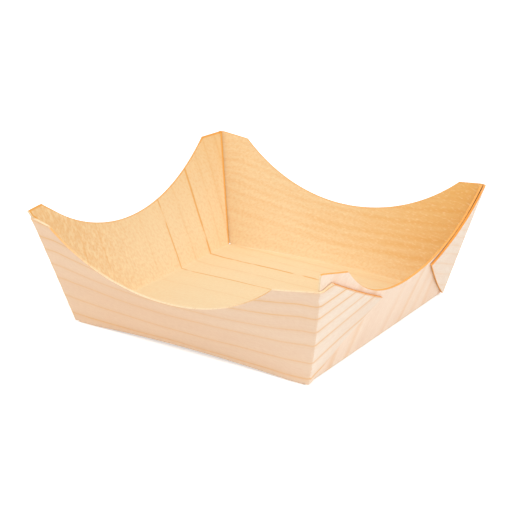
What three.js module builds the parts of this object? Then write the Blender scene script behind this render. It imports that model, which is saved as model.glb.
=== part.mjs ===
// Open food boat, folded from one square sheet of pine veneer.
// The sheet is a square base with a leaning wall on each side. The grain runs along X.
// Each rim is cut to a hollow arc, which leaves a horn at every corner.
// A slit runs from the sheet's edge to each corner of the base. The front and back walls
// keep the leftover wedge beyond the slit as a tab. The tab folds round the corner and is
// glued to the outside of the left or right wall.
// Units are millimetres, +Z is up, and the origin is under the middle of the base.
import * as THREE from 'three';
import { mergeVertices } from 'three/addons/utils/BufferGeometryUtils.js';

// Sheet and base, whose length is along the grain
const veneer = 0.7;
const baseLength = 88.8;
const baseWidth = 89.4;
const camber = 1.25;
const standStrip = 6;

// Walls: their lean from upright, and how far they bow out at the height of the arcs. The
// left and right walls bend across the grain, so they bow out more.
const wallLean = THREE.MathUtils.degToRad(13.5);
const grainBulge = 3.6;
const crossBulge = 4.2;
const bulgeHeight = 22.5;

// Bends: how far each one reaches onto the two panels that it joins
const foldReach = 0.7;
const wrapReach = 0.5;

// Clearances where the sheet lies beside itself
const edgeGap = 0.15;
const slitFoot = 0.35;

// Rims, each seen along its own wall: where the arc is lowest, its radius on either side of
// there, where it ends and how high the two horns stand at the corners. Heights run up the
// slope of the wall.
const rims = {
  front: { middle: -2.2, low: 19.9, radii: [64, 64], arcEnds: [-46.3, 38.9], horns: [38, 35.7] },
  back: { middle: 1.1, low: 23.4, radii: [67.5, 67.5], arcEnds: [-44, 44.6], horns: [41.9, 40.2] },
  left: { middle: -1.5, low: 24.7, radii: [70, 70], arcEnds: [-46.3, 44.8], horns: [41, 42.1] },
  right: { middle: -0.5, low: 23.3, radii: [60, 86], arcEnds: [-42.2, 45.6], horns: [42, 40.6] },
};

// The left wall's front horn has sprung outwards: by how much at its tip, and from what
// height and what distance from the middle of the wall
const flare = { reach: 1.2, foot: 34, from: 40 };

// Tabs: length of the slit edge, how far the top edge runs from the fold to its peak,
// how much the edge from the peak to the tip is hollowed
const slitLength = 36.4;
const peakInset = 4.8;
const chamferHollow = 0.75;

// At each corner, how high the tab's peak lies, and how far the tab stands off the wall
// at the fold and at its tip
const tabs = {
  frontLeft: { peak: 39.2, foldGap: 0.25, tipGap: 0.4 },
  frontRight: { peak: 38.3, foldGap: 0.25, tipGap: 0.6 },
  backLeft: { peak: 40.2, foldGap: 0.25, tipGap: 0.4 },
  backRight: { peak: 39, foldGap: 0.3, tipGap: 0.4 },
};

// Mesh steps
const hornSteps = 2;
const arcSteps = 16;
const wallSteps = 7;
const foldSteps = 3;
const tabSteps = 8;

const halfLength = baseLength / 2;
const halfWidth = baseWidth / 2;
const stripShare = 1 - standStrip / (halfLength - foldReach);
const columns = 2 * hornSteps + arcSteps;

// The wall's side edges spread past square by this angle in the wall's own plane, and the
// slit, folded round the corner, comes to lie at three times that angle above the base
const cornerSpread = Math.atan(Math.sin(wallLean));
const slitRise = 3 * cornerSpread;

const lerp = THREE.MathUtils.lerp;

// A wall is a frame: which way it faces and runs, how far off it stands, half its length at
// the base, how far it bows and how far its front horn has sprung. Inward tells that along,
// turned up, faces into the boat.
const lengthWall = {
  along: new THREE.Vector3(1, 0, 0), standOff: halfWidth, half: halfLength, bulge: grainBulge, flare: 0,
};
const widthWall = {
  along: new THREE.Vector3(0, 1, 0), standOff: halfLength, half: halfWidth, bulge: crossBulge, flare: 0,
};
const walls = {
  front: { ...lengthWall, out: new THREE.Vector3(0, -1, 0), inward: false },
  back: { ...lengthWall, out: new THREE.Vector3(0, 1, 0), inward: true },
  left: { ...widthWall, out: new THREE.Vector3(-1, 0, 0), inward: true, flare: flare.reach },
  right: { ...widthWall, out: new THREE.Vector3(1, 0, 0), inward: false },
};

// Distance from the middle of a wall to its corner line, at a height up the slope
function cornerHalf(wall, height) {
  return wall.half + height * Math.sin(wallLean);
}

// How far the tab's fold line stands outside the corner line of the plain box
function wrapOut(tab) {
  return (veneer + tab.foldGap) / Math.cos(wallLean);
}

// Height of the cambered base over the flat strips that it stands on
function baseLift(x) {
  const share = x / ((halfLength - foldReach) * stripShare);
  return Math.abs(share) < 1 ? camber * (1 - share * share) : 0;
}

// How far a wall's front horn has sprung out at a point: growing as the square of the way to
// its tip, both along the wall and up it
function sprungOut(wall, along, height) {
  const beside = Math.max(-along - flare.from, 0) / (wall.half - flare.from);
  const above = Math.max(height - flare.foot, 0) / (rims.left.horns[0] - flare.foot);
  return wall.flare * Math.min(beside, 1) ** 2 * Math.min(above, 1) ** 2;
}

// Point of a wall's middle surface: a leaning plane, bowed out between its corner lines in
// proportion to the height, and moved out by offset. Widen sets the corner lines apart.
function wallPoint(wall, along, height, offset = 0, widen = 0) {
  const share = along / (cornerHalf(wall, height) + widen);
  const bow = wall.bulge * (1 - share * share) * height / bulgeHeight;
  const proud = bow + offset + sprungOut(wall, along, height);
  const sine = Math.sin(wallLean);
  const cosine = Math.cos(wallLean);
  const outward = wall.standOff + height * sine + proud * cosine;
  const up = height * cosine - proud * sine;
  return new THREE.Vector3(0, 0, up)
    .addScaledVector(wall.out, outward)
    .addScaledVector(wall.along, along);
}

// Point of the round bend that leaves start and reaches end, tangent to both panels
function bendPoint(start, corner, end, share) {
  const first = corner.clone().sub(start);
  const leg = first.length();
  first.normalize();
  const second = end.clone().sub(corner).normalize();
  const turn = first.angleTo(second);
  const radius = leg / Math.tan(turn / 2);
  const across = second.clone().addScaledVector(first, -Math.cos(turn)).normalize();
  return start.clone()
    .addScaledVector(first, radius * Math.sin(turn * share))
    .addScaledVector(across, radius * (1 - Math.cos(turn * share)));
}

// Point at a set distance from corner, on the way to target
function stepTowards(corner, target, distance) {
  return target.clone().sub(corner).setLength(distance).add(corner);
}

// The sheet's middle surface is gathered as loose triangles, panel by panel
const sheetPoints = [];

function addTriangle(a, b, c) {
  sheetPoints.push(a, b, c);
}

// Adds a panel from rows of points. Points that coincide, as at a tab's root, close up.
function addPanel(rows, turned) {
  for (let i = 0; i + 1 < rows.length; i += 1) {
    for (let j = 0; j + 1 < rows[i].length; j += 1) {
      const a = rows[i][j];
      const b = rows[i + 1][j];
      const c = rows[i + 1][j + 1];
      const d = rows[i][j + 1];
      const corners = turned ? [a, d, c, b] : [a, b, c, d];
      addTriangle(corners[0], corners[1], corners[2]);
      addTriangle(corners[0], corners[2], corners[3]);
    }
  }
}

// Place of a column along the base, from -1 to 1: even in the middle and in the end strips
function columnShare(column) {
  const fromEnd = Math.min(column, columns - column);
  const side = column < columns / 2 ? -1 : 1;
  if (fromEnd <= hornSteps) return side * lerp(1, stripShare, fromEnd / hornSteps);
  return lerp(-stripShare, stripShare, (column - hornSteps) / arcSteps);
}

// Point of a rim as place and height on its wall: the horn's top is straight from the corner
// to the end of the arc, and the arc is swept by even angles
function rimPlace(rim, column, endPlaces) {
  const angles = rim.arcEnds.map((place, side) => Math.asin((place - rim.middle) / rim.radii[side]));
  const arcColumn = THREE.MathUtils.clamp(column - hornSteps, 0, arcSteps);
  const angle = lerp(angles[0], angles[1], arcColumn / arcSteps);
  const radius = rim.radii[angle < 0 ? 0 : 1];
  const place = rim.middle + radius * Math.sin(angle);
  const height = rim.low + radius * (1 - Math.cos(angle));
  const end = column < columns / 2 ? 0 : 1;
  const outer = Math.max(hornSteps - Math.min(column, columns - column), 0) / hornSteps;
  return [lerp(place, endPlaces[end], outer), lerp(height, rim.horns[end], outer)];
}

// A wall panel and its fold to the base. Each column runs straight up from the base fold.
function addWall(name, endPlaces, widens) {
  const wall = walls[name];
  const rim = rims[name];
  const foldRows = [];
  const wallRows = [];
  for (let column = 0; column <= columns; column += 1) {
    const foot = columnShare(column) * (wall.half - foldReach);
    const [place, height] = rimPlace(rim, column, endPlaces);
    const lift = wall.out.x === 0 ? baseLift(foot) : 0;
    const widen = widens[foot < 0 ? 0 : 1];
    const pointAt = (rise) => {
      const point = wallPoint(wall, lerp(foot, place, rise / height), rise, 0, widen);
      point.z += lift * (1 - rise / height);
      return point;
    };
    const corner = pointAt(0);
    const start = corner.clone().addScaledVector(wall.out, -foldReach);
    const end = stepTowards(corner, pointAt(foldReach), foldReach);
    const foldRow = [];
    for (let step = 0; step <= foldSteps; step += 1) {
      foldRow.push(bendPoint(start, corner, end, step / foldSteps));
    }
    const wallRow = [end];
    for (let step = 1; step <= wallSteps; step += 1) {
      wallRow.push(pointAt(lerp(foldReach, height, step / wallSteps)));
    }
    foldRows.push(foldRow);
    wallRows.push(wallRow);
  }
  addPanel(foldRows, wall.inward);
  addPanel(wallRows, wall.inward);
  return wallRows;
}

// The base, cambered about Y between the two flat strips
function addBase() {
  const rows = [];
  for (let i = 0; i <= columns; i += 1) {
    const x = columnShare(i) * (halfLength - foldReach);
    const row = [];
    for (let j = 0; j <= columns; j += 1) {
      row.push(new THREE.Vector3(x, columnShare(j) * (halfWidth - foldReach), baseLift(x)));
    }
    rows.push(row);
  }
  addPanel(rows, true);
}

// A tab: the lead past the end of the base fold, the bend round the corner, and the wedge
// that lies on the outside of the neighbouring wall down to its slit edge
function addTab(wrapped, carrier, end, edgeRow, tab, horn) {
  const wall = walls[wrapped];
  const side = walls[carrier];
  const wallSign = end === 0 ? -1 : 1;
  const sideSign = wall.out.y;
  const out = wrapOut(tab);
  const turned = wall.inward !== (end === 0);
  const offset = veneer + tab.foldGap;

  const leadRow = [];
  const bendRows = Array.from({ length: foldSteps + 1 }, () => []);
  for (let step = 0; step <= wallSteps; step += 1) {
    const rise = lerp(slitFoot, horn, step / wallSteps);
    const sideRise = rise + offset * Math.tan(wallLean);
    const reach = cornerHalf(wall, rise) + out;
    const corner = wallPoint(wall, wallSign * reach, rise, 0, out);
    const before = wallPoint(wall, wallSign * (reach - wrapReach), rise, 0, out);
    const beside = cornerHalf(side, rise) - wrapReach;
    const after = wallPoint(side, sideSign * beside, sideRise, offset);
    const start = stepTowards(corner, before, wrapReach);
    const finish = stepTowards(corner, after, wrapReach);
    leadRow.push(start);
    for (let part = 0; part <= foldSteps; part += 1) {
      bendRows[part].push(bendPoint(start, corner, finish, part / foldSteps));
    }
  }
  addPanel([edgeRow, leadRow], turned);
  addPanel(bendRows, turned);

  const root = [cornerHalf(side, slitFoot) - wrapReach, slitFoot + offset * Math.tan(wallLean)];
  const peak = [cornerHalf(side, tab.peak) - peakInset, tab.peak];
  const tip = [side.half - slitLength * Math.cos(slitRise), slitLength * Math.sin(slitRise)];
  const wedgeRows = [bendRows[foldSteps]];
  for (let column = 1; column <= tabSteps; column += 1) {
    const along = (column - 1) / (tabSteps - 1);
    const hollow = 4 * chamferHollow * along * (1 - along);
    const top = [lerp(peak[0], tip[0], along), lerp(peak[1], tip[1], along) - hollow];
    const row = [bendRows[foldSteps][0]];
    for (let step = 1; step <= wallSteps; step += 1) {
      const share = step / wallSteps;
      const standOff = lerp(tab.foldGap, tab.tipGap, share * column / tabSteps);
      const place = sideSign * lerp(root[0], top[0], share);
      row.push(wallPoint(side, place, lerp(root[1], top[1], share), veneer + standOff));
    }
    wedgeRows.push(row);
  }
  addPanel(wedgeRows, turned);
}

// Where the corner columns of a rim end. Left and right walls stop short of the inside of
// the front and back walls. Front and back walls run on past the corner into their tabs.
function cornerPlaces(name, clear) {
  const wall = walls[name];
  return rims[name].horns.map((horn, end) => (end === 0 ? -1 : 1) * (cornerHalf(wall, horn) - clear));
}
const cutClear = (veneer / 2 + edgeGap) / Math.cos(wallLean);

addBase();
addWall('left', cornerPlaces('left', cutClear), [0, 0]);
addWall('right', cornerPlaces('right', cutClear), [0, 0]);
for (const name of ['front', 'back']) {
  const rim = rims[name];
  const ends = [tabs[`${name}Left`], tabs[`${name}Right`]];
  const rows = addWall(name, cornerPlaces(name, foldReach), ends.map(wrapOut));
  addTab(name, 'left', 0, rows[0], ends[0], rim.horns[0]);
  addTab(name, 'right', 1, rows[columns], ends[1], rim.horns[1]);
}

// Drops the triangles that closed up, and joins the panels at their shared points
function joinPanels(points) {
  const kept = [];
  for (let i = 0; i < points.length; i += 3) {
    const [a, b, c] = points.slice(i, i + 3);
    const area = b.clone().sub(a).cross(c.clone().sub(a)).length() / 2;
    if (area > 1e-6) kept.push(a, b, c);
  }
  const surface = new THREE.BufferGeometry().setFromPoints(kept);
  const joined = mergeVertices(surface, 1e-3);
  joined.computeVertexNormals();
  return joined;
}

// Gives the middle surface the veneer's thickness: an outer and an inner face, and a strip
// along every cut edge
function thicken(surface) {
  const position = surface.getAttribute('position');
  const normal = surface.getAttribute('normal');
  const index = surface.getIndex().array;
  const count = position.count;
  const vertices = new Float32Array(count * 6);
  const point = new THREE.Vector3();
  const away = new THREE.Vector3();
  for (const face of [0, 1]) {
    const shift = face === 0 ? veneer / 2 : -veneer / 2;
    for (let i = 0; i < count; i += 1) {
      away.fromBufferAttribute(normal, i);
      point.fromBufferAttribute(position, i).addScaledVector(away, shift);
      point.z += veneer / 2;
      point.toArray(vertices, (face * count + i) * 3);
    }
  }
  const faces = [];
  const edges = new Map();
  for (let i = 0; i < index.length; i += 3) {
    const [a, b, c] = index.slice(i, i + 3);
    faces.push(a, b, c, c + count, b + count, a + count);
    for (const [from, to] of [[a, b], [b, c], [c, a]]) {
      const back = `${to},${from}`;
      if (edges.has(back)) edges.delete(back);
      else edges.set(`${from},${to}`, [from, to]);
    }
  }
  for (const [from, to] of edges.values()) {
    faces.push(from, from + count, to + count, from, to + count, to);
  }
  const solid = new THREE.BufferGeometry();
  solid.setAttribute('position', new THREE.BufferAttribute(vertices, 3));
  solid.setIndex(faces);
  solid.computeVertexNormals();
  return solid;
}

const pineVeneer = new THREE.MeshStandardMaterial({
  name: 'pine_veneer',
  color: 0xf2d3a6,
  roughness: 0.62,
  metalness: 0,
});

const boat = new THREE.Mesh(thicken(joinPanels(sheetPoints)), pineVeneer);
boat.name = 'veneer_boat';

const group = new THREE.Group();
group.add(boat);

export default group;
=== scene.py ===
import bmesh
import bpy
import numpy as np
from mathutils import Matrix


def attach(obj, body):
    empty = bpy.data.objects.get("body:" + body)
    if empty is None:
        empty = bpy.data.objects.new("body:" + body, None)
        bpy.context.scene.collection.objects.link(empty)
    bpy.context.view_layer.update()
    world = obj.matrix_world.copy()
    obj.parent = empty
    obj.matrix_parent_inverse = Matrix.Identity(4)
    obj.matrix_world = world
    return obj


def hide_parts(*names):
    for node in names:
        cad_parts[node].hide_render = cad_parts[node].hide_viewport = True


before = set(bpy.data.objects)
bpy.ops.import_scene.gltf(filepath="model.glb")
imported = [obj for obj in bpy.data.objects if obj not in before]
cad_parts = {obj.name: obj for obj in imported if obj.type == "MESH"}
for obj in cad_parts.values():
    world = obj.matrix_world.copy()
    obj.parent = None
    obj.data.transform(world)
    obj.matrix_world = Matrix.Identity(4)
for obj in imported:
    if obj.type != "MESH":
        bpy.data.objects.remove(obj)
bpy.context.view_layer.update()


# The camera.
# It looks down over the corner between the front and right walls from half a metre away,
# through a long lens, and is turned a hair clockwise.
mm = 0.001
camera_azimuth, camera_elevation, camera_roll = np.radians([33.24, 20.49, 0.18])
camera_distance = 505.1
camera_target = np.array([-3.06, 0.0, 18.1])


def camera_place(azimuth, elevation, roll, target, distance):
    """Matrix of a camera that looks at target from a distance: its back vector is the unit vector
    of azimuth and elevation, its side vector is level and then turned by roll about the back one."""
    level = np.array([np.cos(azimuth), np.sin(azimuth), 0])
    back = np.array([
        np.sin(azimuth) * np.cos(elevation),
        -np.cos(azimuth) * np.cos(elevation),
        np.sin(elevation),
    ])
    upright = np.cross(back, level)
    side = np.cos(roll) * level + np.sin(roll) * upright
    matrix = np.eye(4)
    matrix[:3, :3] = np.stack([side, np.cross(back, side), back], axis=1)
    matrix[:3, 3] = (target + back * distance) * mm
    return Matrix(matrix.tolist())


camera = bpy.data.objects.new("camera", bpy.data.cameras.new("camera"))
camera.data.lens = 105.1
camera.data.clip_start = 0.05
camera.matrix_world = camera_place(
    camera_azimuth, camera_elevation, camera_roll, camera_target, camera_distance
)
bpy.context.scene.collection.objects.link(camera)
bpy.context.scene.camera = camera


# The sheet: base, four walls and four tabs in one piece.
# It is rotary-cut pine 0.7 mm thick, with the grain along X. The walls are folded up from the
# base, and the ends of the front and back walls are wrapped round the corners as glued tabs.
veneer = 0.7
base_length = 88.8
base_width = 89.4
camber = 1.25
stand_strip = 6
wall_lean = np.radians(13.5)
bulge_height = 22.5
fold_reach = 0.7
wrap_reach = 0.48
slit_foot = 0.35

# Each rim: where its lowest point is along the wall and how high it stands up the slope, the
# radii of the arcs before and after it, where the straight horns begin, and the horns' heights.
rims = {
    "front": {
        "middle": -2.2, "low": 19.9, "radii": (64, 64), "arc_ends": (-46.3, 38.9), "horns": (38, 35.7),
    },
    "back": {
        "middle": 1.1, "low": 23.4, "radii": (67.5, 67.5), "arc_ends": (-44, 44.6), "horns": (41.9, 40.2),
    },
    "left": {
        "middle": -1.5, "low": 24.7, "radii": (70, 70), "arc_ends": (-46.3, 44.8), "horns": (41, 42.1),
    },
    "right": {
        "middle": -0.5, "low": 23.3, "radii": (60, 86), "arc_ends": (-42.2, 45.6), "horns": (42, 40.6),
    },
}
horn_rounds = {"left": (0.3, 0.15), "right": (0.6, 0.8)}
end_gaps = {"left": (0.2, 0.2), "right": (0.75, 0.2)}
noses = {"left": {"from": 38.1, "reach": 1.2}, "right": {"from": 35.8, "reach": 0.5}}
nose_ramp = 0.5
nose_fade = 3
flare = {"reach": 1.2, "foot": 34, "from": 40}

# Each tab: how high its peak stands and how hollow its chamfer is, its gap to the wall at the
# tip, and how far its fold is tucked in or stands loose. The gap at the fold is the same for all.
tabs = {
    "front": (
        {"peak": 39.2, "hollow": 0.75, "tip_gap": 0.3, "tuck": 0, "loose": 0.7},
        {"peak": 38.3, "hollow": 0.2, "tip_gap": 0.2, "tuck": 0.62, "loose": 0},
    ),
    "back": (
        {"peak": 40.2, "hollow": 0.75, "tip_gap": 0.3, "tuck": 0, "loose": 0},
        {"peak": 39, "hollow": 0.75, "tip_gap": 0.2, "tuck": 0, "loose": 0.25},
    ),
}
slit_length = 36.4
peak_inset = 4.8
fold_gap = 0.2
tuck_swing = 1.1
ragged = {"depth": 0.1, "turn": 1.3, "full_at": 6}

half_length = base_length / 2
half_width = base_width / 2
strip_share = 1 - stand_strip / (half_length - fold_reach)
tab_offset = veneer + fold_gap
tab_out = tab_offset / np.cos(wall_lean)
corner_spread = np.arctan(np.sin(wall_lean))
slit_rise = 3 * corner_spread

horn_steps = 8
arc_steps = 72
wall_steps = 40
fold_steps = 6
top_steps = 5
chamfer_steps = 34
crowding = 1.8
strip_shares = 1 - (1 - strip_share) * (np.arange(horn_steps) / horn_steps) ** crowding
column_shares = np.concatenate([
    -strip_shares,
    np.linspace(-strip_share, strip_share, arc_steps + 1),
    strip_shares[::-1],
])

length_wall = {
    "along": (1, 0, 0), "stand_off": half_width, "half": half_length, "bulge": 3.6, "flare": 0,
}
width_wall = {
    "along": (0, 1, 0), "stand_off": half_length, "half": half_width, "bulge": 4.2, "flare": 0,
}
walls = {
    "front": {**length_wall, "out": (0, -1, 0), "inward": False},
    "back": {**length_wall, "out": (0, 1, 0), "inward": True},
    "left": {**width_wall, "out": (-1, 0, 0), "inward": True, "flare": flare["reach"]},
    "right": {**width_wall, "out": (1, 0, 0), "inward": False},
}


def blend(start, end, share):
    """Straight line from start to end: start plus share times the way between."""
    return start + (end - start) * share


def corner_half(wall, rise):
    """Half the length of a wall, which grows by the sine of the lean on the way up."""
    return wall["half"] + rise * np.sin(wall_lean)


def base_lift(x):
    """Height of the camber: a parabola between the two flat strips that the base stands on."""
    share = x / ((half_length - fold_reach) * strip_share)
    return camber * np.maximum(1 - share**2, 0)


def sprung_out(wall, along, rise):
    """How far a wall's front horn has sprung outwards: its reach times the squares of the way
    towards the corner and of the way up to the tip."""
    beside = (-along - flare["from"]) / (wall["half"] - flare["from"])
    above = (rise - flare["foot"]) / (rims["left"]["horns"][0] - flare["foot"])
    return wall["flare"] * np.clip(beside, 0, 1) ** 2 * np.clip(above, 0, 1) ** 2


def wall_point(wall, along, rise, offset=0.0, widen=0.0):
    """Middle surface of a wall: a leaning plane, bowed out by a parabola between its corner lines
    that grows with the rise, and moved out by offset and by the flare of a sprung horn."""
    share = along / (corner_half(wall, rise) + widen)
    bow = wall["bulge"] * (1 - share**2) * rise / bulge_height
    proud = bow + offset + sprung_out(wall, along, rise)
    outward = wall["stand_off"] + rise * np.sin(wall_lean) + proud * np.cos(wall_lean)
    up = rise * np.cos(wall_lean) - proud * np.sin(wall_lean)
    parts = (along, wall["along"]), (outward, wall["out"]), (up, (0, 0, 1))
    return sum(np.asarray(length)[..., None] * np.array(way) for length, way in parts)


def unit(vectors):
    """Vectors divided by their own length."""
    return vectors / np.linalg.norm(vectors, axis=-1, keepdims=True)


def bend(start, corner, end, share):
    """Circular arc that leaves start towards corner and reaches end, both legs being equal: the
    radius is the leg divided by the tangent of half the turn."""
    first = unit(corner - start)
    second = unit(end - corner)
    cosine = np.sum(first * second, axis=-1, keepdims=True)
    turn = np.arccos(cosine)
    radius = np.linalg.norm(corner - start, axis=-1, keepdims=True) / np.tan(turn / 2)
    across = unit(second - first * cosine)
    return start + radius * (np.sin(turn * share) * first + (1 - np.cos(turn * share)) * across)


def rim_curve(rim, end_places, rounds):
    """Place and rise of a rim over its columns: two circular arcs that meet at the lowest point,
    swept by even angles, and at each end a straight line on to the horn's corner, which falls
    off by a quarter circle of its round."""
    column = np.arange(len(column_shares))
    radii = np.array(rim["radii"])
    low_angle, high_angle = np.arcsin((np.array(rim["arc_ends"]) - rim["middle"]) / radii)
    angle = blend(low_angle, high_angle, np.clip((column - horn_steps) / arc_steps, 0, 1))
    radius = np.where(angle < 0, radii[0], radii[1])
    place = rim["middle"] + radius * np.sin(angle)
    rise = rim["low"] + radius * (1 - np.cos(angle))
    outer = np.clip((np.abs(column_shares) - strip_share) / (1 - strip_share), 0, 1)
    end = (column_shares > 0).astype(int)
    corner_place = np.array(end_places)[end]
    place = blend(place, corner_place, outer)
    rise = blend(rise, np.array(rim["horns"])[end], outer)
    if rounds:
        corner_round = np.array(rounds)[end]
        near = np.clip(1 - np.abs(corner_place - place) / corner_round, 0, 1)
        rise = rise - corner_round * (1 - np.sqrt(1 - near**2))
    return place, rise


def nosed(name, along, rise):
    """How far the front horn of a side wall reaches forward over the rim of the front wall. It
    grows over a short ramp from just above that rim, and fades behind the corner."""
    nose = noses.get(name, {"from": 0, "reach": 0})
    past_corner = -along - walls[name]["half"] - nose["from"] * np.sin(wall_lean)
    above = np.clip((rise - nose["from"]) / nose_ramp, 0, 1)
    beside = np.clip((past_corner + nose_fade) / nose_fade, 0, 1)
    return nose["reach"] * above * beside


def sheet_place(wall, along, rise):
    """Place on the flat sheet before it was folded: a wall continues the base past its fold."""
    outward = wall["stand_off"] + rise
    return along[..., None] * np.array(wall["along"][:2]) + outward[..., None] * np.array(wall["out"][:2])


def wall_panels(name, end_places, widen, rounds=None):
    """Fold and wall of one side. Each column runs straight up the slope from its foot on the base
    fold to its place on the rim; the fold is a round bend between the base and the column."""
    wall = walls[name]
    foot = column_shares * (wall["half"] - fold_reach)
    place, height = rim_curve(rims[name], end_places, rounds)
    lift = base_lift(foot) if wall["out"][0] == 0 else np.zeros_like(foot)

    def at(rise):
        share = rise / height[:, None]
        along = blend(foot[:, None], place[:, None], share)
        along = along - nosed(name, along, rise)
        point = wall_point(wall, along, rise, 0, widen)
        point[..., 2] += lift[:, None] * (1 - share)
        return point, along

    bottom = np.zeros((len(foot), 1))
    corner = at(bottom)[0]
    start = corner - np.array(wall["out"]) * fold_reach
    towards, fold_along = at(bottom + fold_reach)
    end = corner + unit(towards - corner) * fold_reach
    turn = np.linspace(0, 1, fold_steps + 1)
    fold = bend(start, corner, end, turn[None, :, None])
    rise = blend(fold_reach, height[:, None], np.linspace(0, 1, wall_steps + 1)[None, :])
    points, along = at(rise)
    points[:, 0] = end[:, 0]
    fold_rise = blend(-fold_reach, fold_reach, turn)[None, :] + bottom
    fold_flat = sheet_place(wall, fold_along + 0 * fold_rise, fold_rise)
    return fold, fold_flat, points, sheet_place(wall, along, rise)


def tab_panels(name, end, edge, edge_flat):
    """Tab at one end of the front or back wall: a lead past the fold's end, a round bend about the
    corner line, and a fan of straight columns from the slit's root to the top and chamfer edges.
    The fold wavers by a sine, is tucked in at its top and foot, and is loose towards its top."""
    wall = walls[name]
    side = walls[("left", "right")[end]]
    sign = (-1, 1)[end]
    side_sign = wall["out"][1]
    tab = tabs[name][end]
    horn = rims[name]["horns"][end]
    row = np.linspace(0, 1, wall_steps + 1)
    rise = blend(slit_foot, horn, row)
    side_rise = rise + tab_offset * np.tan(wall_lean)
    loosened = tab["loose"] * (rise / horn) ** 2
    waver = ragged["depth"] * np.sin(ragged["turn"] * rise) * np.minimum(rise / ragged["full_at"], 1)
    tucked = tab["tuck"] * (1 - tuck_swing * np.sin(np.pi * rise / horn))
    reach = corner_half(wall, rise) + tab_out - tucked + loosened + waver
    corner = wall_point(wall, sign * reach, rise, 0, tab_out)
    before = wall_point(wall, sign * (reach - wrap_reach), rise, 0, tab_out)
    beside = corner_half(side, rise) - wrap_reach
    after = wall_point(side, side_sign * beside, side_rise, tab_offset + loosened)
    start = corner + unit(before - corner) * wrap_reach
    finish = corner + unit(after - corner) * wrap_reach
    turn = np.linspace(0, 1, fold_steps + 1)[:, None, None]
    wrap = bend(start[None], corner[None], finish[None], turn)

    top = np.linspace(0, 1, top_steps + 1)[1:]
    chamfer = np.linspace(0, 1, chamfer_steps + 1)[1:]
    first = np.array([corner_half(side, horn) - wrap_reach, horn])
    root = np.array([corner_half(side, slit_foot) - wrap_reach, side_rise[0]])
    peak = np.array([corner_half(side, tab["peak"]) - peak_inset, tab["peak"]])
    tip = np.array([side["half"] - slit_length * np.cos(slit_rise), slit_length * np.sin(slit_rise)])
    crest = np.concatenate([blend(first, peak, top[:, None]), blend(peak, tip, chamfer[:, None])])
    crest[top_steps:, 1] -= 4 * tab["hollow"] * chamfer * (1 - chamfer)
    spot = blend(root, crest[:, None, :], row[None, :, None])
    swept = np.concatenate([0 * top, chamfer])[:, None] * row[None, :]
    nearness = 1 - np.arange(1, len(swept) + 1)[:, None] / len(swept)
    stand = blend(fold_gap, tab["tip_gap"], swept) + tab["loose"] * nearness**3 * row**2
    wedge = wall_point(side, side_sign * spot[..., 0], spot[..., 1], veneer + stand)
    wedge[:, 0] = wrap[-1, 0]

    def flat(distance, height):
        """Turns a place on the side wall back round the slit's root, onto the flat sheet."""
        back_off = side["half"] - distance
        radius = np.hypot(back_off, height)
        angle = 2 * corner_spread - np.arctan2(height, back_off)
        x = sign * (half_length + radius * np.cos(angle))
        return np.stack([x, side_sign * (half_width - radius * np.sin(angle))], axis=-1)

    lead_flat = sheet_place(wall, sign * (corner_half(wall, rise) - wrap_reach), rise)
    last_flat = flat(beside, rise)
    wrap_flat = blend(lead_flat[None], last_flat[None], turn)
    wedge = np.concatenate([wrap[-1:], wedge])
    wedge_flat = np.concatenate([last_flat[None], flat(spot[..., 0], spot[..., 1])])
    lead = np.stack([edge, start])
    return (lead, np.stack([edge_flat, lead_flat])), (wrap, wrap_flat), (wedge, wedge_flat)


def corner_places(name, clears):
    """Where the two end columns of a rim stop, each short of its corner line by its clearance."""
    near, far = corner_half(walls[name], np.array(rims[name]["horns"])) - np.array(clears)
    return -near, far


panels = []
inland = 50.0


def add_panel(points, flat, turned, free_ends=None, rimmed=True):
    """Keeps a grid of points with its flat places. Each column notes how far its cut edge runs
    across the grain, which is the sine of the edge's angle to X on the flat sheet; a free end
    column takes its own direction instead. Each point notes how far off the nearest cut edge is,
    along its column or its row, in millimetres, or an inland value where none is near."""
    rim_way = np.gradient(flat[:, -1], axis=0) if len(flat) > 1 else flat[:, -1]
    tone = np.abs(unit(rim_way)[:, 1])[:, None] + np.zeros(points.shape[:2])
    for column in free_ends or ():
        side_way = flat[column, -1] - flat[column, 0]
        tone[column] = abs(unit(side_way)[1])
    to_rim = np.linalg.norm(flat[:, -1:] - flat, axis=-1) if rimmed else np.full(tone.shape, inland)
    for column in free_ends or ():
        to_rim = np.minimum(to_rim, np.linalg.norm(flat[column] - flat, axis=-1))
    panels.append((points, flat, tone, to_rim, turned))


x_grid, y_grid = np.meshgrid(
    column_shares * (half_length - fold_reach), column_shares * (half_width - fold_reach), indexing="ij"
)
base_grid = np.stack([x_grid, y_grid, base_lift(x_grid)], axis=-1)
add_panel(base_grid, base_grid[..., :2], True, rimmed=False)

for side_name in ("left", "right"):
    cut_clears = (veneer / 2 + np.array(end_gaps[side_name])) / np.cos(wall_lean)
    fold, fold_flat, face, face_flat = wall_panels(
        side_name, corner_places(side_name, cut_clears), 0, horn_rounds[side_name]
    )
    add_panel(fold, fold_flat, walls[side_name]["inward"], free_ends=(0, -1), rimmed=False)
    add_panel(face, face_flat, walls[side_name]["inward"], free_ends=(0, -1))
for long_name in ("front", "back"):
    fold, fold_flat, face, face_flat = wall_panels(
        long_name, corner_places(long_name, (fold_reach, fold_reach)), tab_out
    )
    add_panel(fold, fold_flat, walls[long_name]["inward"], rimmed=False)
    add_panel(face, face_flat, walls[long_name]["inward"])
    for end, column in enumerate((0, -1)):
        tab_turned = walls[long_name]["inward"] != (end == 0)
        lead, wrap, wedge = tab_panels(long_name, end, face[column], face_flat[column])
        add_panel(*lead, tab_turned)
        add_panel(*wrap, tab_turned)
        add_panel(*wedge, tab_turned)


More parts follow.
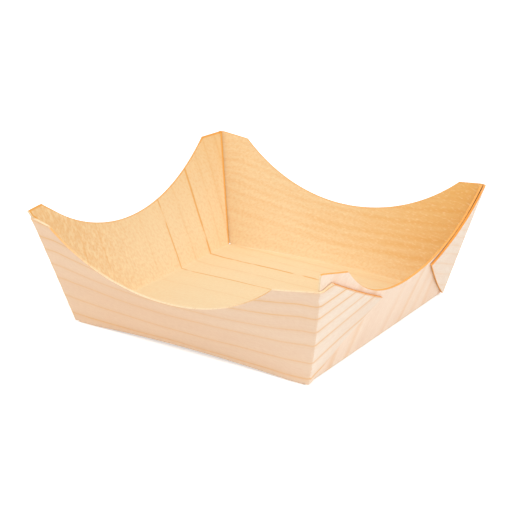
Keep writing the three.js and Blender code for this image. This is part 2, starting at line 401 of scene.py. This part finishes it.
def sheet_mesh(name):
    """Mesh of the middle surface: each panel is a grid of quads, and panels are joined where
    their points meet. It is lifted by half the thickness, so that the solid stands on zero."""
    points, flats, tones, to_rims, faces = [], [], [], [], []
    count = 0
    for grid, flat, tone, to_rim, turned in panels:
        number = count + np.arange(grid[..., 0].size).reshape(grid.shape[:2])
        quads = [number[:-1, :-1], number[1:, :-1], number[1:, 1:], number[:-1, 1:]]
        faces.append(np.stack(quads[::-1] if turned else quads, axis=-1).reshape(-1, 4))
        points.append(grid.reshape(-1, 3))
        flats.append(flat.reshape(-1, 2))
        tones.append(tone.ravel())
        to_rims.append(to_rim.ravel())
        count += number.size
    places = np.concatenate(points)
    places[:, 2] += veneer / 2
    mesh = bpy.data.meshes.new(name)
    mesh.from_pydata((places * mm).tolist(), [], np.concatenate(faces).tolist())
    sheet = np.concatenate(flats)
    sheet = np.concatenate([sheet, np.zeros((len(sheet), 1))], axis=1)
    mesh.attributes.new("sheet", "FLOAT_VECTOR", "POINT").data.foreach_set("vector", sheet.ravel())
    mesh.attributes.new("cross_cut", "FLOAT", "POINT").data.foreach_set("value", np.concatenate(tones))
    mesh.attributes.new("to_rim", "FLOAT", "POINT").data.foreach_set("value", np.concatenate(to_rims))
    joined = bmesh.new()
    joined.from_mesh(mesh)
    bmesh.ops.remove_doubles(joined, verts=joined.verts, dist=2e-6)
    for face in joined.faces:
        face.smooth = True
    joined.to_mesh(mesh)
    joined.free()
    return mesh


# The pine's grain and colours.
# The growth lines are laid out on the flat sheet, so they carry on over every fold. The inside is
# yellow to orange, deepened by painted warm bounce light and shade up the walls, the outside is a
# paler pinkish cream, with painted light on the side walls and tabs, and the cut edges have their
# own tones, with painted shade on the tabs' edges.
class Wire:
    """One output in a material's nodes. Its operators add Math nodes, and node adds any other."""

    def __init__(self, tree, socket=None):
        self.tree = tree
        self.socket = socket

    def node(self, kind, settings, sockets, output=0):
        """Adds a node: its settings are made first, then its sockets get a value or a link."""
        made = self.tree.nodes.new("ShaderNode" + kind)
        for name, value in settings.items():
            setattr(made, name, value)
        for name, value in sockets.items():
            if isinstance(value, Wire):
                self.tree.links.new(value.socket, made.inputs[name])
            else:
                made.inputs[name].default_value = value
        return Wire(self.tree, made.outputs[output] if made.outputs else None)

    def math(self, operation, first, second=0.0):
        """Adds one Math node."""
        return self.node("Math", {"operation": operation}, {0: first, 1: second})

    def __add__(self, other):
        return self.math("ADD", self, other)

    __radd__ = __add__

    def __mul__(self, other):
        return self.math("MULTIPLY", self, other)

    __rmul__ = __mul__

    def __sub__(self, other):
        return self.math("SUBTRACT", self, other)

    def __rsub__(self, other):
        return self.math("SUBTRACT", other, self)

    def __truediv__(self, other):
        return self.math("DIVIDE", self, other)

    def __rtruediv__(self, other):
        return self.math("DIVIDE", other, self)

    def size(self):
        """The number without its sign."""
        return self.math("ABSOLUTE", self)

    def between(self, low, high):
        """The number, held between two limits."""
        return self.math("MINIMUM", self.math("MAXIMUM", self, low), high)

    def ease(self, low, high):
        """Smooth step from 0 at low to 1 at high."""
        sockets = {"Value": self, "From Min": low, "From Max": high}
        return self.node("MapRange", {"interpolation_type": "SMOOTHSTEP"}, sockets)


def new_material(name):
    """Material with its own nodes emptied. Gives the material and a wire to build on."""
    material = bpy.data.materials.new(name)
    material.use_nodes = True
    material.node_tree.nodes.clear()
    return material, Wire(material.node_tree)


def colour(red, green, blue):
    """Linear colour of a written one, whose channels run from 0 to 255."""
    share = np.array([red, green, blue]) / 255
    linear = np.where(share < 0.04045, share / 12.92, ((share + 0.055) / 1.055) ** 2.4)
    return (*linear.tolist(), 1)


def tint(wire, factor, first, second):
    """Mixes two colours by a factor."""
    settings = {"data_type": "RGBA", "clamp_factor": True}
    return wire.node("Mix", settings, {0: factor, 6: first, 7: second}, output=2)


def noise(wire, along, across, detail, offset):
    """Noise on the flat sheet, from 0 to 1. Along and across already count in the noise's cells."""
    place = wire.node("CombineXYZ", {}, {0: along, 1: across, 2: offset})
    sockets = {"Vector": place, "Scale": 1.0, "Detail": detail, "Roughness": 0.55}
    return wire.node("TexNoise", {"noise_dimensions": "3D"}, sockets)


line_count = (5.06, 0.0867, 0.00012, 0.0000157, 0.00000007)
lines_per_mm = tuple(power * term for power, term in enumerate(line_count))[1:]
line_bend = (0.0006, 0.000022)
line_middle = 7
line_wander = 1.5
tab_slant = 0.07
tooth_depth = 0.8


def series(place, terms):
    """Power series of a place: each term times the place to the power of the term's number."""
    total = terms[-1]
    for term in terms[-2::-1]:
        total = term + place * total
    return total


def growth(wire):
    """Growth lines on the flat sheet. A line keeps one place across the grain but for a parabola
    along it, which turns from a frown at the front to a smile at the back, and a slow wander. On
    the tabs it runs towards the slit. The count of lines goes up to a fourth power of the place,
    so they stand over 10 mm apart on the base, 5 mm on the front wall and 2 mm at the back rim.
    Side and end are masks of what lies past the folds at the base's sides and ends, back is the
    end mask at the back alone, and wrapped is the side mask with the crisp teeth of a fold."""
    flat = wire.node("Attribute", {"attribute_name": "sheet"}, {}, output=1)
    x = wire.node("SeparateXYZ", {}, {0: flat}, output=0)
    y = wire.node("SeparateXYZ", {}, {0: flat}, output=1)
    past_x = x.size() - half_length
    past_y = y.size() - half_width
    spread = float(np.sin(wall_lean))
    side = (past_x - past_y.between(0, 60) * spread).ease(0, 1)
    end = (past_y - past_x.between(0, 60) * spread).ease(0, 1)
    teeth = (noise(wire, x / 3, y / 0.6, 2.0, 71.0) - 0.5) * tooth_depth
    wrapped = (past_x - past_y.between(0, 60) * spread + teeth).ease(0.3, 0.55)
    reach = x.between(-45, 46) - line_middle
    past_corner = (past_x - 2.6).between(0, 60)
    wander = (noise(wire, x / 26, y / 12, 1.0, 3.0) - 0.5) * line_wander
    place = y - series(y, line_bend) * reach * reach + wander
    place = place + tab_slant * past_corner * end * wire.math("SIGN", y)
    spacing = 1 / series(place, lines_per_mm)
    count = series(place, line_count) + (noise(wire, place / 7, 0.0, 0.0, 9.0) - 0.5) * 0.3
    number = wire.math("ROUND", count)
    chance = wire.node("TexWhiteNoise", {"noise_dimensions": "1D"}, {"W": number}, output=0)
    return {
        "x": x, "y": y, "place": place,
        "side": side, "wrapped": wrapped, "end": end, "back": end * y.ease(0, 1),
        "off": count - number, "number": number, "spacing": spacing, "chance": chance,
        "fibre": noise(wire, x * 0.12, place * 3.5, 3.0, 21.0),
        "fine": noise(wire, x * 0.5, place * 8.0, 2.0, 33.0),
    }


def beside_rim(wire, width):
    """1 at a cut rim, falling off to 0 over a width in millimetres."""
    to_rim = wire.node("Attribute", {"attribute_name": "to_rim"}, {}, output=2)
    return 1 - to_rim.ease(width * 0.3, width)


def line_at(grain, width):
    """A growth line of a width: 1 on the line, falling off smoothly on both sides of it."""
    return 1 - (grain["off"] * grain["spacing"]).size().ease(0.0, width)


def pine_surface(wire, colours, grain, relief):
    """Bare pine: dull, less so along the fibres, with a relief of a few hundredths of a millimetre."""
    bump = wire.node("Bump", {}, {"Strength": 0.5, "Distance": 0.00005, "Height": relief})
    shader = wire.node("BsdfPrincipled", {}, {
        "Base Color": colours,
        "Roughness": 0.52 + grain["fibre"] * 0.2,
        "Normal": bump,
    })
    wire.node("OutputMaterial", {}, {"Surface": shader})


def pine_outside():
    """Outer face: pinkish cream, with painted light making it paler on the side walls and palest on
    the tabs, with thin tan growth lines on the front and back walls and on the tabs, faint broad
    bands elsewhere, and painted shade in orange beside the tabs' cross-cut edges."""
    material, wire = new_material("pine_outside")
    grain = growth(wire)
    warm = tint(wire, grain["x"].ease(-20, 55) * 0.7, colour(243, 210, 177), colour(239, 213, 188))
    # Painted light: the side walls are painted paler, and the tabs on them palest.
    pale = tint(wire, grain["wrapped"], warm, colour(252, 230, 208))
    tab = grain["wrapped"] * grain["end"]
    paler = tint(wire, tab, pale, colour(247, 231, 213))
    drift = noise(wire, grain["x"] / 40, grain["place"] / 9, 2.0, 5.0).ease(0.35, 0.7)
    body = tint(wire, drift * 0.2, paler, colour(232, 186, 148))
    broken = noise(wire, grain["x"] / 9, grain["place"], 1.0, 13.0)
    strong = 0.5 + grain["chance"] * 0.5 + tab * 0.35
    on_end = (line_at(grain, 0.45) * (0.3 + 0.5 * broken) + line_at(grain, 1.7) * 0.2) * strong
    on_side = line_at(grain, 2.8) * grain["chance"].ease(0.3, 0.9) * 0.3
    end = grain["end"] * (1 - grain["back"] * 0.75)
    lined = tint(wire, on_end * end + on_side * (1 - grain["end"]), body, colour(235, 177, 92))
    flame = noise(wire, grain["x"] * 0.7, grain["y"] * 1.2 - grain["x"] * 0.3, 2.0, 63.0) - 0.5
    fibre = (grain["fibre"] - 0.5) * 0.3 + (grain["fine"] - 0.5) * 0.2 + flame * 0.35
    worn = tint(wire, 0.08 + fibre, lined, colour(218, 168, 130))
    cross = wire.node("Attribute", {"attribute_name": "cross_cut"}, {}, output=2)
    # Painted shade: an orange band on the tabs' outer face along their cross-cut edges, for the shaded
    # gap between tab and wall.
    rim = beside_rim(wire, 0.6) * cross.ease(0.5, 0.85) * tab * 0.75
    final = tint(wire, rim, worn, colour(233, 166, 88))
    pine_surface(wire, final, grain, grain["fibre"] * 0.5 + grain["fine"] * 0.5)
    return material


def pine_inside():
    """Inner face: pale yellow on the base, and painted warm bounce light and shade that deepen it to
    orange up the walls and to the right and most at the right of the back wall, with two strong
    growth lines and some faint ones, soft bands and light flecks on the back wall, and a curly figure
    on the left one. Painted shade in deep orange lines the side walls' cut ends in the inner corners."""
    material, wire = new_material("pine_inside")
    grain = growth(wire)
    left = grain["side"] * (-1 * grain["x"]).ease(0, 1)
    up_side = (grain["x"].size() - half_length).between(0, 45) / 45
    up_back = (grain["y"] - half_width).between(0, 45) / 45
    to_right = grain["x"].ease(-40, 60)
    to_back = (grain["y"] - half_width).ease(-10, 14)
    # Painted warm bounce light and shade: the colour deepens to orange up the walls, to the right and
    # most at the right of the back wall.
    depth = 0.03 + up_side.ease(0.15, 1.1) * 0.5 + up_back * 0.35 + to_right * (0.2 + to_back * 0.5)
    body = tint(wire, depth, colour(242, 219, 178), colour(232, 180, 101))
    broken = noise(wire, grain["x"] / 7, grain["place"] / 2, 1.0, 13.0).ease(0.28, 0.5)
    sixth = wire.math("COMPARE", grain["number"], 6.0)
    eighth = wire.math("COMPARE", grain["number"], 8.0)
    strong = sixth * 0.45 + eighth * 0.65
    thin = line_at(grain, 0.6) * broken * (grain["chance"] * 0.3 + strong)
    band = 1 - grain["off"].size().ease(0.0, 0.5)
    waves = noise(wire, grain["x"] / 14, grain["place"] * 0.5, 2.0, 17.0).ease(0.35, 0.75)
    banded = band * (0.2 + grain["chance"] * 0.3) + waves * 0.3
    soft = banded * (0.08 + to_back * (0.3 + to_right * 0.5))
    lined = tint(wire, thin * (1 - grain["back"]) + soft, body, colour(228, 164, 72))
    slant = grain["x"] * 0.45 - grain["place"] * 0.3
    fleck = noise(wire, slant, grain["place"] * 1.7 + grain["x"] * 0.38, 2.0, 51.0).ease(0.5, 0.76)
    curl = noise(wire, grain["x"] * 0.38, grain["y"] * 0.55, 2.0, 57.0).ease(0.42, 0.68)
    curly = left * (10 - grain["y"]).ease(0, 40)
    light = fleck * (0.05 + grain["back"] * 0.4) + curl * curly * 0.3
    flecked = tint(wire, light, lined, colour(250, 224, 178))
    flame = noise(wire, grain["x"] * 0.9, grain["y"] * 1.1 - grain["x"] * 0.3, 2.0, 63.0).ease(0.3, 0.7)
    shade = (flame - 0.5) * (0.12 + (left + grain["back"]) * 0.2) + (1 - curl) * curly * 0.25
    fibre = (grain["fibre"] - 0.5) * 0.25 + (grain["fine"] - 0.5) * 0.2
    worn = tint(wire, 0.06 + shade + fibre, flecked, colour(228, 166, 90))
    rimmed = tint(wire, beside_rim(wire, 0.5) * 0.6, worn, colour(233, 164, 76))
    # Painted shade: a deep orange band along the side walls' cut edges near the inner corners.
    corner = grain["side"] * (grain["y"].size() - half_width).ease(-3, 0)
    final = tint(wire, beside_rim(wire, 1.1) * corner * 0.9, rimmed, colour(233, 162, 62))
    relief = grain["fibre"] * 0.5 + grain["fine"] * 0.4 + curl * curly * 1.5
    pine_surface(wire, final, grain, relief)
    return material


def pine_cut():
    """Cut edge of the veneer: cream where the knife ran with the grain, and orange where it ran
    across, because the open ends of the fibres soak up the light. On the tabs the orange is deeper,
    which is painted shade."""
    material, wire = new_material("pine_cut")
    flat = wire.node("Attribute", {"attribute_name": "sheet"}, {}, output=1)
    cross = wire.node("Attribute", {"attribute_name": "cross_cut"}, {}, output=2)
    grain = growth(wire)
    # End-grain orange, deepened on the tabs by painted shade.
    end_grain_and_tab_shade = tint(wire, grain["side"] * grain["end"], colour(240, 172, 88), colour(236, 152, 58))
    tone = tint(wire, cross.ease(0.25, 0.8), colour(244, 218, 178), end_grain_and_tab_shade)
    rough = wire.node("TexNoise", {}, {"Vector": flat, "Scale": 1.5, "Detail": 3.0})
    final = tint(wire, rough.ease(0.45, 0.8) * 0.3, tone, colour(196, 118, 50))
    bump = wire.node("Bump", {}, {"Strength": 0.5, "Distance": 0.00008, "Height": rough})
    shader = wire.node("BsdfPrincipled", {}, {"Base Color": final, "Roughness": 0.75, "Normal": bump})
    wire.node("OutputMaterial", {}, {"Surface": shader})
    return material


boat = bpy.data.objects.new("folded_sheet", sheet_mesh("folded_sheet"))
bpy.context.scene.collection.objects.link(boat)
for material in (pine_outside(), pine_inside(), pine_cut()):
    boat.data.materials.append(material)
thickness = boat.modifiers.new("thickness", "SOLIDIFY")
thickness.thickness = veneer * mm
thickness.offset = 0
thickness.material_offset = 1
thickness.material_offset_rim = 2
arris = boat.modifiers.new("arris", "BEVEL")
arris.width = 0.07 * mm
arris.segments = 2
arris.limit_method = "ANGLE"
arris.angle_limit = np.radians(60)
arris.harden_normals = True
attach(boat, "root")
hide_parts("veneer_boat")


# The table and the light.
# A broad white table top, two soft square lamps, one on each side of the camera, and a pale room
# all round that fills the shadows.
table_half = 3


def seen_directly(wire):
    """1 for the camera and for what shows in a reflection or through glass, and 0 for the light
    that reaches a dull surface."""
    camera_ray, glossy_ray, glass_ray = (
        wire.node("LightPath", {}, {}, output="Is " + kind + " Ray")
        for kind in ("Camera", "Glossy", "Transmission")
    )
    return (camera_ray + glossy_ray + glass_ray).between(0, 1)


def table_material():
    """White card that keeps the boat's shadow and is plain white to the camera elsewhere."""
    material, wire = new_material("white_card")
    seen = seen_directly(wire)
    card = wire.node("BsdfPrincipled", {}, {
        "Base Color": (0.86, 0.86, 0.86, 1),
        "Roughness": 0.9,
        "Emission Color": tint(wire, seen, (0, 0, 0, 1), (0.5, 0.5, 0.5, 1)),
        "Emission Strength": 1.0,
    })
    wire.node("OutputMaterial", {}, {"Surface": card})
    return material


table = bpy.data.meshes.new("table")
table.from_pydata(
    [(x * table_half, y * table_half, 0) for x, y in ((-1, -1), (1, -1), (1, 1), (-1, 1))],
    [],
    [(0, 1, 2, 3)],
)
table.materials.append(table_material())
table_top = bpy.data.objects.new("table", table)
bpy.context.scene.collection.objects.link(table_top)


def soft_lamp(name, azimuth, elevation, distance, size, power):
    """Square lamp that faces the boat from a bearing and a distance in metres."""
    lamp = bpy.data.lights.new(name, "AREA")
    lamp.size = size
    lamp.energy = power
    holder = bpy.data.objects.new(name, lamp)
    holder.matrix_world = camera_place(
        np.radians(azimuth), np.radians(elevation), 0, np.zeros(3), distance / mm
    )
    bpy.context.scene.collection.objects.link(holder)


soft_lamp("right_lamp", azimuth=75, elevation=50, distance=1.0, size=1.1, power=6.1)
soft_lamp("left_lamp", azimuth=-35, elevation=40, distance=1.2, size=1.0, power=4.3)

room_light = 0.59
world = bpy.data.worlds.new("room")
bpy.context.scene.world = world
world.use_nodes = True
world.node_tree.nodes.clear()
room = Wire(world.node_tree)
background = room.node("Background", {}, {
    "Color": (1, 1, 1, 1),
    "Strength": room_light + seen_directly(room) * (1 - room_light),
})
room.node("OutputWorld", {}, {"Surface": background})
bpy.context.scene.view_settings.view_transform = "Standard"
